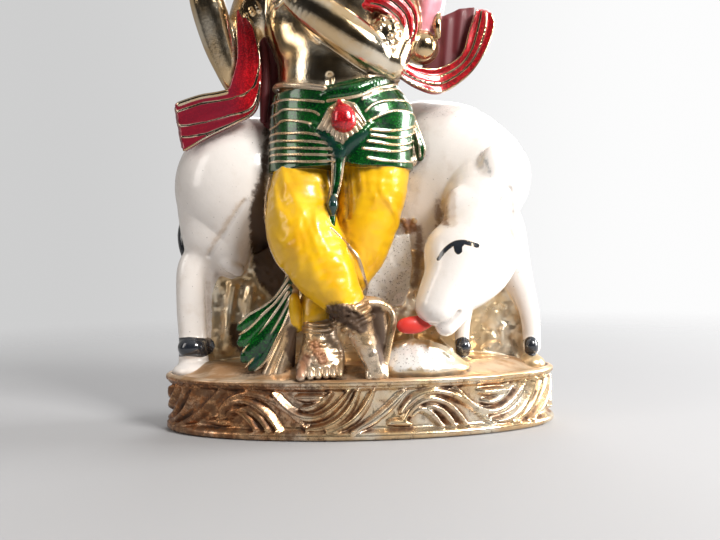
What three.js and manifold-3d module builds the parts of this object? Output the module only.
// A flute player standing in front of a cow on an oval plinth: a small gilt casting made in one piece.
// Millimetres, +Z up. The origin is the centre of the plinth's flat underside and the front faces -Y.
import * as THREE from "three";
import { mergeVertices } from "three/addons/utils/BufferGeometryUtils.js";
import Module from "manifold-3d";

const wasm = await Module();
wasm.setup();

// Plinth: an upright oval drum between two beads, with leaf scrolls on the frieze between them.
const PLINTH_LENGTH = 54;
const PLINTH_DEPTH = 22.4;
const PLINTH_HEIGHT = 7.7;
const PLINTH_FACETS = 40;
const BEAD_HEIGHT = 1.2;
const BEAD_PROJECTION = 0.9;
const RIM_HEIGHT = 0.25;
const RIM_WIDTH = 1.3;
const GROUND_RISE = 1.4;
const GROUND_SLOPE = 4.5;
const UNDERSIDE_CHAMFER = 0.8;
const SCROLL_CLUSTERS = 10;
const RIBS_PER_CLUSTER = 3;
const RIB_WIDTH = 0.95;
const RIB_PROJECTION = 0.75;

// Figure: from the top of the plinth to the tip of the feather.
const FIGURE_HEIGHT = 76.4;
const FLUTE_RADIUS = 0.8;
const CLOTH_THICKNESS = 1.3;
const SASH_RIDGES = 6;
const SASH_RIDGE_HEIGHT = 0.42;

// Cow: its tail and its foremost hoof keep this distance from the plinth's ends.
const COW_SETBACK = 1;
const GILT_GROUND_FRONT = 2;
const GILT_GROUND_THICKNESS = 3;

// The figure is drawn 76.4 units high and the cow 52 units long, on a plinth 22.4 units deep.
// These units turn both into millimetres. Depths follow the plinth, so that feet and hooves stay on it.
const ground = PLINTH_HEIGHT - RIM_HEIGHT;
const figureUnit = FIGURE_HEIGHT / 76.4;
const cowUnit = (PLINTH_LENGTH - 2 * COW_SETBACK) / 52;
const depthUnit = PLINTH_DEPTH / 22.4;

const sideways = new THREE.Vector3(1, 0, 0);
const depthwards = new THREE.Vector3(0, 1, 0);
const upwards = new THREE.Vector3(0, 0, 1);

// Solids, and how they are joined.

function solidOf(geometry) {
  const bare = new THREE.BufferGeometry().setAttribute("position", geometry.getAttribute("position"));
  if (geometry.index) bare.setIndex(geometry.index);
  const merged = mergeVertices(bare, 1e-4);
  const corners = merged.attributes.position.array;
  const faces = new Uint32Array(merged.index.array);
  const make = (triVerts) =>
    new wasm.Manifold(new wasm.Mesh({ numProp: 3, vertProperties: corners, triVerts }));
  const solid = make(faces);
  if (solid.volume() > 0) return solid;
  for (let i = 0; i < faces.length; i += 3) {
    [faces[i + 1], faces[i + 2]] = [faces[i + 2], faces[i + 1]];
  }
  return make(faces);
}

function joined(solids) {
  return solids.reduce((whole, next) => whole.add(next));
}

// The same solid with its sealed hollows filled.
function withoutHollows(solid) {
  return joined(solid.decompose().filter((body) => body.volume() > 0));
}

function geometryOf(solid) {
  const mesh = solid.getMesh();
  const geometry = new THREE.BufferGeometry();
  geometry.setAttribute("position", new THREE.BufferAttribute(mesh.vertProperties, 3));
  geometry.setIndex(new THREE.BufferAttribute(mesh.triVerts, 1));
  geometry.computeVertexNormals();
  return geometry;
}

// A skin over rings of points. A ring of one point closes an end.
function skin(rings) {
  const positions = [];
  const index = [];
  const starts = rings.map((ring) => {
    const start = positions.length / 3;
    ring.forEach((p) => positions.push(p.x, p.y, p.z));
    return start;
  });
  for (let k = 0; k + 1 < rings.length; k++) {
    const sides = Math.max(rings[k].length, rings[k + 1].length);
    const low = (i) => starts[k] + (rings[k].length > 1 ? i % sides : 0);
    const high = (i) => starts[k + 1] + (rings[k + 1].length > 1 ? i % sides : 0);
    for (let i = 0; i < sides; i++) {
      if (rings[k].length > 1) index.push(low(i), low(i + 1), high(i));
      if (rings[k + 1].length > 1) index.push(low(i + 1), high(i + 1), high(i));
    }
  }
  const geometry = new THREE.BufferGeometry();
  geometry.setAttribute("position", new THREE.Float32BufferAttribute(positions, 3));
  geometry.setIndex(index);
  return solidOf(geometry);
}

function middle(ring) {
  return ring.reduce((sum, p) => sum.add(p), new THREE.Vector3()).divideScalar(ring.length);
}

function withFlatEnds(rings) {
  return skin([[middle(rings[0])], ...rings, [middle(rings[rings.length - 1])]]);
}

// The station at a share t of the way, on a smooth curve through all stations. Each of its numbers is
// carried along, so that radii and widths change as smoothly as the place does.
function along(stations, t) {
  const spans = stations.length - 1;
  const span = Math.min(Math.floor(t * spans), spans - 1);
  const s = t * spans - span;
  const at = (i) => stations[Math.max(0, Math.min(spans, i))];
  return stations[0].map((_, axis) => {
    const [a, b, c, d] = [at(span - 1), at(span), at(span + 1), at(span + 2)].map((p) => p[axis]);
    const bend = (2 * a - 5 * b + 4 * c - d) * s * s + (3 * b - a - 3 * c + d) * s * s * s;
    return 0.5 * (2 * b + (c - a) * s + bend);
  });
}

// A limb through stations [x, y, z, radius]. Its section is shortened to `ratio` along `thin`.
// It ends in points, with one ring more where it is wide enough to need a dome.
function limb(stations, { sides = 6, steps = 1, thin = depthwards, ratio = 1 } = {}) {
  const smallestDome = 1.7;
  const count = steps * (stations.length - 1);
  const samples = Array.from({ length: count + 1 }, (_, i) => along(stations, i / count));
  const centres = samples.map(([x, y, z]) => new THREE.Vector3(x, y, z));
  const radii = samples.map((s) => s[3]);
  const tangents = centres.map((_, i) =>
    centres[Math.min(i + 1, count)].clone().sub(centres[Math.max(i - 1, 0)]).normalize(),
  );
  const flattened = (v) => v.addScaledVector(thin, -v.dot(thin) * (1 - ratio));
  let across = (Math.abs(tangents[0].y) < 0.9 ? depthwards : sideways).clone();
  const ring = (centre, tangent, radius) => {
    across = across.clone().addScaledVector(tangent, -across.dot(tangent)).normalize();
    const up = new THREE.Vector3().crossVectors(tangent, across);
    return Array.from({ length: sides }, (_, i) => {
      const angle = (i / sides) * 2 * Math.PI;
      const offset = across.clone().multiplyScalar(Math.cos(angle) * radius);
      offset.addScaledVector(up, Math.sin(angle) * radius);
      return centre.clone().add(flattened(offset));
    });
  };
  const beyond = (i, share) =>
    centres[i].clone().addScaledVector(flattened(tangents[i].clone()), (i ? 1 : -1) * share * radii[i]);
  const dome = (i) =>
    radii[i] > smallestDome ? [ring(beyond(i, 0.5), tangents[i], radii[i] * 0.78)] : [];
  return skin([
    [beyond(0, 0.85)],
    ...dome(0),
    ...centres.map((c, i) => ring(c, tangents[i], radii[i])),
    ...dome(count),
    [beyond(count, 0.85)],
  ]);
}

// An ellipsoid at [x, y, z] with half-sizes [x, y, z], turned by degrees about Y and then X.
function blob(centre, halfSizes, { turnY = 0, turnX = 0, width = 8, height = 6 } = {}) {
  const geometry = new THREE.SphereGeometry(1, width, height);
  geometry.scale(...halfSizes);
  geometry.rotateY(THREE.MathUtils.degToRad(turnY));
  geometry.rotateX(THREE.MathUtils.degToRad(turnX));
  geometry.translate(...centre);
  return solidOf(geometry);
}

// A pleated cloth through stations [x, y, z, halfX, halfY, halfZ], where the half vector runs across it.
// `front` is the side that the pleats stand towards.
function cloth(stations, { pleats, rise, steps = 2, thickness = CLOTH_THICKNESS, front = -1 }) {
  const thick = thickness / figureUnit;
  const count = steps * (stations.length - 1);
  const samples = Array.from({ length: count + 1 }, (_, i) => along(stations, i / count));
  const centre = (s) => new THREE.Vector3(s[0], s[1], s[2]);
  const rings = samples.map((s, i) => {
    const half = new THREE.Vector3(s[3], s[4], s[5]);
    const before = centre(samples[Math.max(i - 1, 0)]);
    const way = centre(samples[Math.min(i + 1, count)]).sub(before).normalize();
    const face = new THREE.Vector3().crossVectors(way, half).normalize();
    if (face.y * front < 0) face.negate();
    const place = (share, depth) => centre(s).addScaledVector(half, share).addScaledVector(face, depth);
    const ridged = Array.from({ length: 2 * pleats + 1 }, (_, k) =>
      place(-1 + k / pleats, thick / 2 - (k % 2 ? rise : 0)),
    );
    return [...ridged, place(1, -thick / 2), place(-1, -thick / 2)];
  });
  return withFlatEnds(rings);
}

// A flat plate with an outline [x, z], between two depths.
function plate(outline, frontY, backY) {
  const shape = new THREE.Shape(outline.map(([x, z]) => new THREE.Vector2(x, z)));
  const geometry = new THREE.ExtrudeGeometry(shape, { depth: backY - frontY, bevelEnabled: false });
  geometry.rotateX(Math.PI / 2);
  geometry.translate(0, backY, 0);
  return solidOf(geometry);
}

// The plinth.

const semiLength = PLINTH_LENGTH / 2;
const semiDepth = PLINTH_DEPTH / 2;
const friezeBottom = BEAD_HEIGHT * 1.1;
const friezeTop = PLINTH_HEIGHT - friezeBottom;

function ovalPoint(turn, inset, height) {
  const x = (semiLength - inset) * Math.cos(turn);
  const y = (semiDepth - inset) * Math.sin(turn);
  return new THREE.Vector3(x, y, height);
}

function plinthDrum() {
  const profile = [
    [UNDERSIDE_CHAMFER, 0],
    [0, BEAD_HEIGHT * 0.35],
    [0, BEAD_HEIGHT * 0.75],
    [BEAD_PROJECTION, friezeBottom],
    [BEAD_PROJECTION, friezeTop],
    [0, PLINTH_HEIGHT - BEAD_HEIGHT * 0.75],
    [RIM_WIDTH * 0.2, PLINTH_HEIGHT - BEAD_HEIGHT * 0.2],
    [RIM_WIDTH * 0.5, PLINTH_HEIGHT],
    [RIM_WIDTH, ground],
    [RIM_WIDTH + GROUND_SLOPE, ground + GROUND_RISE],
  ];
  const turns = Array.from({ length: PLINTH_FACETS }, (_, i) => (i / PLINTH_FACETS) * 2 * Math.PI);
  return withFlatEnds(profile.map(([inset, height]) => turns.map((turn) => ovalPoint(turn, inset, height))));
}

// The way round the frieze: its length, and the turn at each distance along it.
function friezePath() {
  const steps = 720;
  const turnOf = (i) => (i / steps) * 2 * Math.PI;
  const distances = [0];
  for (let i = 1; i <= steps; i++) {
    const before = ovalPoint(turnOf(i - 1), BEAD_PROJECTION, 0);
    distances.push(distances[i - 1] + before.distanceTo(ovalPoint(turnOf(i), BEAD_PROJECTION, 0)));
  }
  const length = distances[steps];
  const turnAt = (distance) => {
    const wanted = ((distance % length) + length) % length;
    const after = Math.max(1, distances.findIndex((d) => d >= wanted));
    const part = (wanted - distances[after - 1]) / (distances[after] - distances[after - 1]);
    return turnOf(after - 1 + part);
  };
  return { length, turnAt };
}

// A rib along points [distance round the frieze, height], three-sided and tapered at both ends.
function friezeRib(route, path) {
  const turns = route.map(([distance]) => path.turnAt(distance));
  const onWall = route.map(([, height], i) => ovalPoint(turns[i], BEAD_PROJECTION, height));
  const rings = onWall.map((p, i) => {
    const [cos, sin] = [Math.cos(turns[i]), Math.sin(turns[i])];
    const out = new THREE.Vector3(cos / semiLength, sin / semiDepth, 0).normalize();
    const before = onWall[Math.max(i - 1, 0)];
    const way = onWall[Math.min(i + 1, onWall.length - 1)].clone().sub(before).normalize();
    const side = new THREE.Vector3().crossVectors(out, way).normalize();
    const taper = i === 0 || i === onWall.length - 1 ? 0.3 : 1;
    const half = (RIB_WIDTH / 2) * taper;
    const sunk = p.clone().addScaledVector(out, -0.25 * RIB_WIDTH);
    return [
      sunk.clone().addScaledVector(side, half),
      p.clone().addScaledVector(out, RIB_PROJECTION * taper),
      sunk.clone().addScaledVector(side, -half),
    ];
  });
  return withFlatEnds(rings);
}

// Leaf scrolls: ribs that start side by side, arch over and fan out, each second cluster upside down.
function plinthScrolls() {
  const path = friezePath();
  const pitch = path.length / SCROLL_CLUSTERS;
  const rise = friezeTop - friezeBottom;
  const ribs = [];
  for (let cluster = 0; cluster < SCROLL_CLUSTERS; cluster++) {
    const start = 0.75 * path.length + (cluster - 0.5) * pitch;
    for (let rib = 0; rib < RIBS_PER_CLUSTER; rib++) {
      const order = rib / Math.max(1, RIBS_PER_CLUSTER - 1);
      const left = -0.02 - 0.18 * order;
      const right = 0.36 + 0.44 * order;
      const arch = Array.from({ length: 5 }, (_, k) => {
        const angle = Math.PI * (1 - k / 4);
        const distance = start + (pitch / 2) * (left + right + (right - left) * Math.cos(angle));
        const lift = rise * (0.38 + 0.5 * order) * Math.sin(angle);
        return [distance, cluster % 2 ? friezeTop - lift : friezeBottom + lift];
      });
      ribs.push(friezeRib(arch, path));
    }
  }
  return joined(ribs);
}

// The cow: heights in its drawing are measured from the ground.

function cowBody() {
  const barrel = [
    [-16.7, 3.2, 27, 8.7],
    [-8, 4.2, 27.3, 9],
    [2, 4.6, 27, 9.4],
    [12.8, 3.4, 26.2, 10.6],
  ];
  return [
    limb(barrel, { sides: 10, steps: 2, ratio: 0.62 }),
    blob([10.5, 5, 35.2], [5, 3, 3.2]),
    blob([-15.5, 2.2, 18.8], [4.2, 4, 5.2]),
    blob([-18.3, 0.9, 14.4], [2.2, 2.2, 2.5], { width: 7, height: 5 }),
  ];
}

function cowLegs() {
  const nearHind = [
    [-17.1, 0.8, 26, 7.4],
    [-19.5, 0.6, 20.5, 5],
    [-22.6, 0.8, 15.6, 2.1],
    [-23.3, 0.8, 12, 2],
    [-23.2, 0.6, 5, 2],
    [-23.1, 0.4, 0.5, 2.3],
  ];
  const farHind = [
    [-15.5, 6, 22, 5],
    [-17.5, 6.2, 12, 2.2],
    [-17.6, 6, 5, 1.8],
    [-17.4, 5.8, 0.6, 2.1],
  ];
  const rightFront = [
    [20, 2.4, 19, 4.2],
    [23, 1.9, 12, 2],
    [23.9, 1.2, 7, 1.5],
    [24.3, 0.8, 1.2, 1.45],
  ];
  const leftFront = [
    [15.5, 0, 17, 3.4],
    [14, -3, 9, 1.7],
    [13.7, -4, 4, 1.4],
    [13.6, -4.2, 0.8, 1.6],
  ];
  const thigh = { sides: 7, steps: 2, ratio: 0.78 };
  return [limb(nearHind, thigh), limb(farHind), limb(rightFront), limb(leftFront)];
}

function cowTail() {
  const tail = [
    [-22.4, 5, 33.5, 1.3],
    [-24.8, 4.4, 28, 1.1],
    [-24.8, 3.6, 22.5, 1.1],
    [-24.3, 2.8, 18, 1.5],
    [-23.9, 2.6, 15, 0.7],
  ];
  return limb(tail);
}

// The head is bent down and turned back, with the tongue out towards the figure's foot.
function cowHead() {
  const neck = [
    [14, 2, 29, 8],
    [18, -1, 26.5, 6.3],
    [17, -4.6, 22.6, 4.6],
  ];
  const head = [
    [16.2, -5.6, 21, 4.1],
    [13.8, -7.4, 15.8, 4],
    [11.2, -8.8, 10.8, 3],
    [10.4, -9.2, 8.8, 2.7],
  ];
  const tongue = [
    [9.4, -9.2, 7.6, 0.9],
    [7, -9.2, 7.2, 1],
    [5.2, -9, 7.2, 0.7],
  ];
  return [
    limb(neck, { sides: 8, steps: 2, ratio: 0.8 }),
    limb(head, { sides: 8, steps: 2 }),
    limb(tongue, { thin: upwards, ratio: 0.6 }),
    blob([16.6, -6.2, 13.4], [2.8, 2.4, 3], { turnY: 30 }),
    blob([11.7, -8.7, 6.7], [1.7, 1.5, 1.2], { width: 7, height: 5 }),
    blob([12.6, -10.6, 16.6], [2, 0.9, 1.1], { turnY: 10, width: 6, height: 4 }),
  ];
}

function cowEarsAndHorns() {
  const ears = [
    [[14, -7.6, 20, 1.3], [12.7, -7.6, 23, 1.5], [12.2, -7.2, 24.9, 0.5]],
    [[17.6, -6.2, 20.6, 1.2], [18.9, -6.2, 22.8, 1.3], [19.4, -6, 24.6, 0.4]],
  ];
  const horns = [
    [[17.6, -3.8, 24.6, 1.2], [17.5, -4, 27.6, 0.95], [16.6, -4, 30, 0.35]],
    [[15.1, -3.6, 24.8, 1.1], [14.6, -3.8, 27, 0.9], [14.9, -3.8, 29, 0.35]],
  ];
  return [...ears.map((ear) => limb(ear, { ratio: 0.6 })), ...horns.map((horn) => limb(horn, { sides: 5 }))];
}

// Gilt ground that rises towards a sheet between the cow's legs, and the mounds under hooves and tongue.
function giltGround() {
  const rise = [
    [-17, 2.4, -1.2, 6.4],
    [-8, 3.2, -1.2, 7.4],
    [8, 3.2, -1.2, 7.4],
    [17, 2.4, -1.2, 6.4],
  ];
  const outline = [
    [-24, -1],
    [-23, 10],
    [-18, 15],
    [-9, 19],
    [2, 19],
    [12, 18],
    [21, 16],
    [24, 9],
    [24.6, -1],
  ];
  const hoofMounds = [
    [[-23.4, 0.6, -0.2], [2.9, 2.6, 1.1]],
    [[13.6, -4.3, -0.2], [2.4, 2.2, 1.6]],
    [[24, 0.9, -0.2], [1.7, 2.2, 1.8]],
    [[-17.4, 6, -0.3], [2.6, 2.2, 1]],
  ];
  const front = GILT_GROUND_FRONT / depthUnit;
  return [
    plate(outline, front, front + GILT_GROUND_THICKNESS / depthUnit),
    limb(rise, { sides: 12, thin: upwards, ratio: 0.43 }),
    blob([6.6, -5.6, 0.8], [6.2, 3.2, 3.4], { turnX: 20 }),
    ...hoofMounds.map(([centre, halfSizes]) => blob(centre, halfSizes, { width: 7, height: 4 })),
  ];
}

// The figure: heights in its drawing are measured from the ground.

function legs() {
  const crossed = [
    [-6.6, -4.4, 30, 4.7],
    [-7.4, -6, 24.4, 4.5],
    [-7.3, -7.8, 18.4, 4.5],
    [-4.8, -8.6, 14, 3.8],
    [-2.1, -8.9, 10.4, 2.9],
    [-0.9, -9, 8.8, 2.4],
  ];
  const standing = [
    [2.6, -3.4, 30, 4.7],
    [2, -4, 22.5, 4.3],
    [-0.1, -4, 16, 3.8],
    [-4, -4.2, 10.6, 3.2],
    [-5.8, -4.5, 7.6, 2.8],
  ];
  return [limb(crossed, { sides: 8, steps: 2 }), limb(standing, { sides: 7, steps: 2 })];
}

// The standing foot lies flat with its toes to the front, and the crossed foot stands on its toes.
function feet() {
  const flat = [
    [-5.8, -4.7, 6.6, 2.4],
    [-5.8, -5.6, 3.6, 2.2],
    [-5.7, -8.4, 1.3, 2.8],
  ];
  const instep = [
    [-0.5, -8.9, 8, 2],
    [0.7, -9.2, 4.6, 1.8],
    [1.9, -9.6, 1.7, 1.5],
    [2.1, -9.8, 0.6, 1.1],
  ];
  const heelAndSole = [
    [1, -8.3, 8, 1.2],
    [3.9, -7.8, 8.2, 1.1],
    [3.6, -8.5, 5, 1],
    [2.8, -9.2, 1.4, 1],
  ];
  const toes = [-7.8, -6.6, -5.5, -4.5, -3.5].map((x, order) => {
    const radius = order ? 0.66 : 0.95;
    const tip = [x - 0.1, -10.1 + 0.16 * order, 0.7, radius];
    return limb([[x, -8.6, 1.2, radius], tip], { sides: 5 });
  });
  return [limb(flat, { thin: upwards, ratio: 0.75 }), limb(instep), limb(heelAndSole, { sides: 5 }), ...toes];
}

// Sash round the hips: stacked ridges that droop at the front, parted below the boss at the waist.
function hipSash() {
  const [bottom, top, sides] = [27.6, 39.3, 16];
  const layers = 2 * SASH_RIDGES;
  const rings = Array.from({ length: layers + 1 }, (_, k) => {
    const share = k / layers;
    const swell = k % 2 ? SASH_RIDGE_HEIGHT / figureUnit : 0;
    const halfWidth = 9.3 - 1.6 * share * share + swell;
    const halfDepth = 5.9 - 0.9 * share + swell;
    return Array.from({ length: sides }, (_, i) => {
      const angle = (i / sides) * 2 * Math.PI;
      const front = Math.max(0, -Math.sin(angle));
      const parting = 0.9 * (1 - share) * Math.exp(-((Math.cos(angle) / 0.22) ** 2)) * front;
      const droop = 1.3 * (0.5 - share) * front * Math.cos(2 * angle);
      const x = -2 - 0.2 * share + halfWidth * Math.cos(angle);
      const y = -3.7 + (halfDepth - parting) * Math.sin(angle);
      return new THREE.Vector3(x, y, bottom + (top - bottom) * share + droop);
    });
  });
  return withFlatEnds(rings);
}

// What hangs from the sash: a fan of pleats beside the leg, a drop at the hip, a boss and a tassel.
function sashEnds() {
  const fan = [
    [-8.6, -6.4, 15, 0.9, 0, -0.6],
    [-10.4, -6.2, 8.6, 2, 0, -1.4],
    [-12.6, -6.6, 3, 3.3, 0, -2.8],
  ];
  const drop = [
    [7.4, -2.4, 34.4, 0.7, 0.4, 0],
    [8, -2.6, 31, 1, 0.5, 0],
    [8.3, -2.6, 28.4, 0.9, 0.5, 0],
  ];
  const cord = [
    [-2, -8.8, 29.6, 0.7],
    [-2.5, -9.2, 26, 0.5],
    [-3, -9.8, 23, 0.6],
  ];
  const tassel = [
    [-3, -10.2, 23, 0.9],
    [-3.2, -10.8, 20.6, 0.4],
  ];
  return [
    cloth(fan, { pleats: 5, rise: 0.7, thickness: 1.2 * CLOTH_THICKNESS }),
    cloth(drop, { pleats: 1, rise: 0.3, steps: 1, thickness: 1.2 * CLOTH_THICKNESS }),
    blob([-1.6, -9.9, 33.8], [1.7, 1.3, 1.8], { width: 7, height: 5 }),
    limb(cord, { sides: 5 }),
    limb(tassel, { sides: 5 }),
  ];
}

function torso() {
  const trunk = [
    [-2.2, -3.4, 37, 8],
    [-2.7, -3.1, 43, 7.9],
    [-3.2, -2.7, 49, 8.9],
    [-3.2, -2.6, 52.6, 8.2],
  ];
  const neck = [
    [-2.9, -2.6, 54, 2.7],
    [-2.6, -3.4, 58.4, 2.2],
  ];
  const collar = new THREE.TorusGeometry(4.6, 0.6, 4, 9);
  collar.scale(1, 0.9, 1);
  collar.rotateX(THREE.MathUtils.degToRad(28));
  collar.translate(-3, -3.4, 53);
  return [limb(trunk, { sides: 10, steps: 2, ratio: 0.62 }), limb(neck, { sides: 7 }), solidOf(collar)];
}

function arms() {
  const rightUpper = [
    [-11.2, -2.4, 52.6, 3.1],
    [-14.4, -1.9, 46, 2.6],
    [-17.5, -2.2, 39.6, 2.2],
  ];
  const rightLower = [
    [-17.6, -2.4, 39.4, 2.15],
    [-18.4, -3.4, 44, 2.35],
    [-19.3, -5.4, 49.4, 1.9],
    [-19.7, -6.6, 52.4, 1.4],
  ];
  const leftUpper = [
    [5.2, -2.5, 52.8, 3.1],
    [6.8, -4, 47, 2.6],
    [4.9, -6.4, 40.9, 2.3],
  ];
  const leftLower = [
    [4.6, -6.8, 40.4, 2.3],
    [1.2, -8.4, 42.4, 2.5],
    [-4.4, -9.3, 46.5, 2.2],
    [-8.6, -9.4, 49.9, 1.5],
  ];
  return [
    ...[rightUpper, rightLower, leftUpper, leftLower].map((arm) => limb(arm)),
    blob([3.3, -7.4, 43.9], [2.2, 2, 2.2]),
    blob([-13.6, -2.4, 48], [2.9, 2.7, 1.4], { turnY: -25 }),
  ];
}

// The flute's line from the mouth to the far tip, and the point on it at a given x.
const fluteMouth = [-1.2, -9.4, 59];
const fluteTip = [-25.4, -8.4, 53.6];

function onFlute(x) {
  const share = (x - fluteMouth[0]) / (fluteTip[0] - fluteMouth[0]);
  return fluteMouth.map((v, axis) => v + share * (fluteTip[axis] - v));
}

function flute() {
  const radius = FLUTE_RADIUS / figureUnit;
  return limb([[...fluteTip, radius], [...fluteMouth, radius], [...onFlute(2.6), radius]]);
}

// Each hand is a palm below the flute with fingers over it.
function hands() {
  const wrists = [
    [-19.7, -6.8, 52.6, 1.4],
    [-8.9, -9.2, 50.2, 1.4],
  ];
  return wrists.flatMap((wrist) => {
    const [gripX, gripY, gripZ] = onFlute(wrist[0] - (wrist === wrists[1] ? 1.7 : 0.1));
    const fingers = [-1.7, 0, 1.7].map((shift) => {
      const [x, y, z] = onFlute(gripX + shift);
      return limb([[x, y + 1.2, z + 0.6, 0.8], [x, y - 0.9, z + 0.9, 0.65]], { sides: 5 });
    });
    return [limb([wrist, [gripX, gripY + 1.2, gripZ - 1.3, 1.7]]), ...fingers];
  });
}

const [headX, headY, headZ] = [-2.5, -4.6, 62.4];

function head() {
  const nose = [
    [headX, headY - 3.8, headZ + 0.9, 0.4],
    [headX, headY - 4.7, headZ - 0.9, 0.6],
  ];
  const ear = (x) => blob([headX + x, headY + 0.3, headZ - 1.2], [0.7, 0.9, 2], { width: 5, height: 4 });
  return [
    blob([headX, headY, headZ], [3.9, 4.2, 5], { width: 9, height: 7 }),
    blob([headX, headY - 2.2, headZ - 3.2], [2.3, 2, 1.9], { width: 7, height: 5 }),
    limb(nose, { sides: 4 }),
    ear(-4),
    ear(4),
  ];
}

// Hair: a mass at the back of the head, and locks that spread over the shoulders.
function hair() {
  const locks = [
    [-2.5, 0.8, 62, 3.4, 0, 0],
    [-2.6, 2, 55, 5.2, 0, 0],
    [-2.8, 3.2, 47.5, 4.4, 0, 0],
  ];
  return [
    blob([headX, headY + 2.4, headZ - 0.8], [4.3, 4.2, 4.6], { width: 9, height: 5 }),
    cloth(locks, { pleats: 4, rise: 0.7, steps: 1, thickness: 1.7 * CLOTH_THICKNESS, front: 1 }),
  ];
}

// Crown: a banded ring, a cone above it with a knob, a leaf at the front and a feather.
function crown() {
  const [seat, knob] = [64.2, 74.2];
  const tiers = [
    [0, seat],
    [4.7, seat],
    [5, 65.4],
    [4.3, 66.6],
    [3.5, 69.4],
    [1.2, 72.2],
    [0.9, 73.4],
    [0, knob],
  ];
  const cone = new THREE.LatheGeometry(tiers.map(([radius, height]) => new THREE.Vector2(radius, height)), 9);
  cone.rotateX(Math.PI / 2);
  cone.translate(headX, headY + 1, 0);
  const quill = [
    [-2.8, -6.6, 66, 0.8],
    [-3.1, -6.4, 70.6, 0.7],
  ];
  return [
    solidOf(cone),
    blob([headX, headY - 3.2, 68], [1.5, 0.9, 2.2], { width: 5, height: 4 }),
    limb(quill, { sides: 4 }),
    blob([-3.4, -6.4, 72.6], [2.4, 0.9, 3.9], { turnY: 12, height: 6 }),
  ];
}

// Scarf: over both elbows and across the back, its ends flying out to either side.
function scarf() {
  const rightEnd = [
    [-14.2, -4.2, 48.4, 1, 0, 0.1],
    [-13.9, -4.6, 44, 1.7, 0, 0],
    [-14, -4.6, 39.2, 1.9, 0, -0.7],
    [-15.3, -4.5, 36.4, 1.6, 0, -1.7],
    [-18, -4.3, 35.5, 0.8, 0, -2.5],
    [-22.6, -4.2, 34.1, 0.3, 0, -3.5],
  ];
  const leftEnd = [
    [5.2, -6.2, 41.6, 0.2, 0, 1.3],
    [8.6, -5, 39.1, -0.15, 0, 1.4],
    [11.5, -4, 38.95, -0.35, 0, 1.6],
    [14.65, -3.6, 40.65, -0.85, 0, 1.05],
    [16.6, -3.4, 43.4, -1.4, 0, 0.3],
    [17.8, -3.4, 48.2, -1.3, 0, 0.2],
  ];
  const overElbow = [
    [3.4, -7.6, 48.2, 1.1, 0, 1.4],
    [6.6, -6.8, 47, 1.5, 0, 0.9],
    [7.6, -6.4, 44.4, 1.7, 0, 0],
    [6, -6.6, 41.4, 1.2, 0, -1.1],
  ];
  const acrossBack = [
    [-15.6, -1, 44, 0, 0.4, 1.6],
    [-11, 2.2, 44.8, 0, 0.2, 2],
    [-3, 3, 43.4, 0, 0, 2.3],
    [5, 1.4, 43.4, 0, -0.2, 2],
    [8, -3.6, 44, 0, -0.4, 1.6],
  ];
  const innerFace = [
    [10.4, 39.2],
    [10.4, 46.6],
    [12, 48],
    [17, 49.4],
    [16.4, 44],
    [14.6, 40.8],
    [12, 39.2],
  ];
  return [
    cloth(rightEnd, { pleats: 3, rise: 0.45 }),
    cloth(leftEnd, { pleats: 2, rise: 0.45 }),
    cloth(overElbow, { pleats: 1, rise: 0.3 }),
    cloth(acrossBack, { pleats: 2, rise: 0.4, front: 1 }),
    plate(innerFace, -2.6, -1.2),
  ];
}

// A lotus bud on a round calyx, held between the arm and the scarf.
function lotusBud() {
  const bud = [
    [9.9, -2.4, 46, 1.4],
    [10.3, -2.4, 49.6, 2.5],
    [10.5, -2.4, 53.6, 2.2],
    [10.6, -2.4, 56.8, 0.5],
  ];
  return [blob([9.4, -2.4, 43.9], [2.6, 2.4, 2.5]), limb(bud)];
}

// The casting: both groups stand on the ground, are cut off below it and are joined to the plinth.

function onGround(solids, unit) {
  return joined(solids).scale([unit, depthUnit, unit]).translate([0, 0, ground]);
}

const cow = onGround(
  [...cowBody(), ...cowLegs(), cowTail(), ...cowHead(), ...cowEarsAndHorns(), ...giltGround()],
  cowUnit,
);
const lowerFigure = [...legs(), ...feet(), hipSash(), ...sashEnds()];
const upperFigure = [...torso(), ...arms(), ...hands(), flute(), ...head(), ...hair(), ...crown()];
const figure = onGround([...lowerFigure, ...upperFigure, ...scarf(), ...lotusBud()], figureUnit);

const belowGround = new THREE.BoxGeometry(2 * PLINTH_LENGTH, 2 * PLINTH_DEPTH, PLINTH_HEIGHT);
belowGround.translate(0, 0, ground - RIM_HEIGHT - PLINTH_HEIGHT / 2);
const statue = cow.add(figure).subtract(solidOf(belowGround));
const casting = withoutHollows(joined([plinthDrum(), plinthScrolls(), statue]));

const gilt = new THREE.MeshStandardMaterial({ color: 0xc99a4a, metalness: 1, roughness: 0.25 });
const mesh = new THREE.Mesh(geometryOf(casting), gilt);
mesh.name = "flute_player_and_cow";

const part = new THREE.Group();
part.add(mesh);

export default part;
